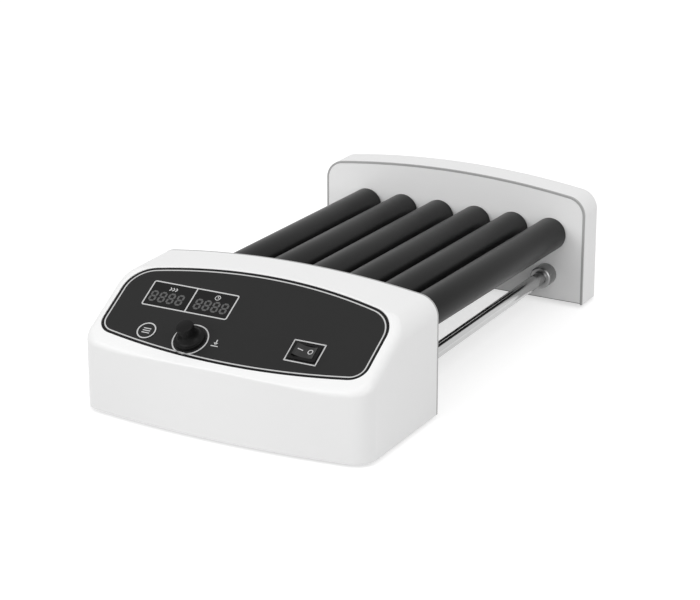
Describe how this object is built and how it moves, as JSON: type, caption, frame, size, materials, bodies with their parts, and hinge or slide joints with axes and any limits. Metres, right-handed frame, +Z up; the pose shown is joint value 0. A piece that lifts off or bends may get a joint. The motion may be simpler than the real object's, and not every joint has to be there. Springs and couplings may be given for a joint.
{
  "type": "roller mixer",
  "caption": "Bench roller mixer with rubber rollers that turn and rock between arched heads joined by tie rods, with a sloped control panel.",
  "frame": {"origin": "on the surface under the feet, below the middle of the mixer's length and width", "axes": "+X to the right of a person at the control panel, +Y from the panel to the rear head, +Z up"},
  "size_m": [0.263, 0.459, 0.1121],
  "materials": {
    "housing_white": "gloss white moulding",
    "plate_white": "satin powder coat",
    "panel_dark": "matte printed film",
    "window_smoke": "smoked clear window",
    "display_grey": "display block",
    "board_green": "circuit board",
    "black_plastic": "fine-grained black plastic",
    "black_gloss": "gloss black plastic",
    "roller_rubber": "smooth satin rubber",
    "seal_rubber": "dark rubber strip",
    "foot_rubber": "soft rubber",
    "belt_rubber": "round belt cord",
    "chrome_rod": "bright chrome",
    "steel": "turned steel",
    "zinc": "zinc-plated steel",
    "base_steel": "satin grey paint",
    "aluminium": "milled aluminium",
    "nylon": "natural nylon",
    "pulley_plastic": "moulded pulley plastic"
  },
  "bodies": {
    "root": {"board_posts": "nylon", "control_board": "board_green", "control_overlay": "panel_dark", "cover_screws": "zinc", "display_digits": "display_grey", "display_window": "window_smoke", "encoder_body": "steel", "feet": "foot_rubber", "foot_screws": "zinc", "front_base": "base_steel", "front_cover": "housing_white", "front_end_plate": "plate_white", "front_seal": "seal_rubber", "key_switch": "black_plastic", "plate_screws": "zinc", "power_inlet": "black_plastic", "power_switch_body": "black_plastic", "rear_base": "base_steel", "rear_bushes": "nylon", "rear_cover": "housing_white", "rear_end_plate": "plate_white", "rear_seal": "seal_rubber", "rocking_guide": "base_steel", "rod_collars": "chrome_rod", "rod_screws": "zinc", "switch_pin": "steel", "tie_rods": "chrome_rod"},
    "mode_button": {"mode_button": "panel_dark"},
    "encoder_rotor": {"encoder_rotor": "black_plastic"},
    "knob": {"encoder_shaft": "aluminium", "control_knob": "black_plastic"},
    "switch_rocker": {"switch_rocker": "black_gloss"},
    "carrier": {"carrier_bar": "aluminium", "front_bearings": "steel", "motor_bracket": "zinc", "drive_motor": "steel", "roller_belts": "belt_rubber", "drive_belt": "belt_rubber"},
    "drive": {"motor_shaft": "steel", "drive_pulley": "pulley_plastic", "crank": "steel"},
    "roller_1": {"roller_1_sleeve": "roller_rubber", "roller_1_shaft": "steel", "roller_1_pulley": "pulley_plastic"},
    "roller_2": {"roller_2_sleeve": "roller_rubber", "roller_2_shaft": "steel", "roller_2_pulley": "pulley_plastic"},
    "roller_3": {"roller_3_sleeve": "roller_rubber", "roller_3_shaft": "steel", "roller_3_pulley": "pulley_plastic"},
    "roller_4": {"roller_4_sleeve": "roller_rubber", "roller_4_shaft": "steel", "roller_4_pulley": "pulley_plastic"},
    "roller_5": {"roller_5_sleeve": "roller_rubber", "roller_5_shaft": "steel", "roller_5_pulley": "pulley_plastic"},
    "roller_6": {"roller_6_sleeve": "roller_rubber", "roller_6_shaft": "steel", "roller_6_pulley": "pulley_plastic"}
  },
  "joints": [
    {"name": "rocking", "type": "hinge", "parent": "root", "child": "carrier", "pos_m": [0, 0.1955, 0.0667], "axis": [1, 0, 0], "range_deg": [0, 3]},
    {"name": "roller_1_spin", "type": "hinge", "parent": "carrier", "child": "roller_1", "pos_m": [-0.08825, 0.1955, 0.0667], "axis": [0, 0.9997, -0.0262], "continuous": true},
    {"name": "roller_2_spin", "type": "hinge", "parent": "carrier", "child": "roller_2", "pos_m": [-0.05075, 0.1955, 0.0667], "axis": [0, 0.9997, -0.0262], "continuous": true},
    {"name": "roller_3_spin", "type": "hinge", "parent": "carrier", "child": "roller_3", "pos_m": [-0.01325, 0.1955, 0.0667], "axis": [0, 0.9997, -0.0262], "continuous": true},
    {"name": "roller_4_spin", "type": "hinge", "parent": "carrier", "child": "roller_4", "pos_m": [0.02425, 0.1955, 0.0667], "axis": [0, 0.9997, -0.0262], "continuous": true},
    {"name": "roller_5_spin", "type": "hinge", "parent": "carrier", "child": "roller_5", "pos_m": [0.06175, 0.1955, 0.0667], "axis": [0, 0.9997, -0.0262], "continuous": true},
    {"name": "roller_6_spin", "type": "hinge", "parent": "carrier", "child": "roller_6", "pos_m": [0.09925, 0.1955, 0.0667], "axis": [0, 0.9997, -0.0262], "continuous": true},
    {"name": "drive_spin", "type": "hinge", "parent": "carrier", "child": "drive", "pos_m": [0.02425, -0.12718, 0.04514], "axis": [0, 0.9997, -0.0262], "continuous": true},
    {"name": "mode_press", "type": "slide", "parent": "root", "child": "mode_button", "axis": [0, 0.5039, -0.8638], "range_m": [0, 0.0006], "stiffness_N_per_m": 900, "springref_m": -0.0006},
    {"name": "knob_turn", "type": "hinge", "parent": "root", "child": "encoder_rotor", "pos_m": [-0.0363, -0.19795, 0.06375], "axis": [0, -0.5039, 0.8638], "continuous": true},
    {"name": "knob_press", "type": "slide", "parent": "encoder_rotor", "child": "knob", "axis": [0, 0.5039, -0.8638], "range_m": [0, 0.0005], "stiffness_N_per_m": 900, "springref_m": -0.0008},
    {"name": "power_rocker", "type": "hinge", "parent": "root", "child": "switch_rocker", "pos_m": [0.0639, -0.19396, 0.07476], "axis": [0, 0.8638, 0.5039], "range_deg": [-14, 0]}
  ],
  "couplings": [
    {"joint": "roller_2_spin", "follows": "roller_1_spin", "ratio": 1},
    {"joint": "roller_3_spin", "follows": "roller_1_spin", "ratio": 1},
    {"joint": "roller_4_spin", "follows": "roller_1_spin", "ratio": 1},
    {"joint": "roller_5_spin", "follows": "roller_1_spin", "ratio": 1},
    {"joint": "roller_6_spin", "follows": "roller_1_spin", "ratio": 1},
    {"joint": "drive_spin", "follows": "roller_1_spin", "ratio": 1}
  ]
}
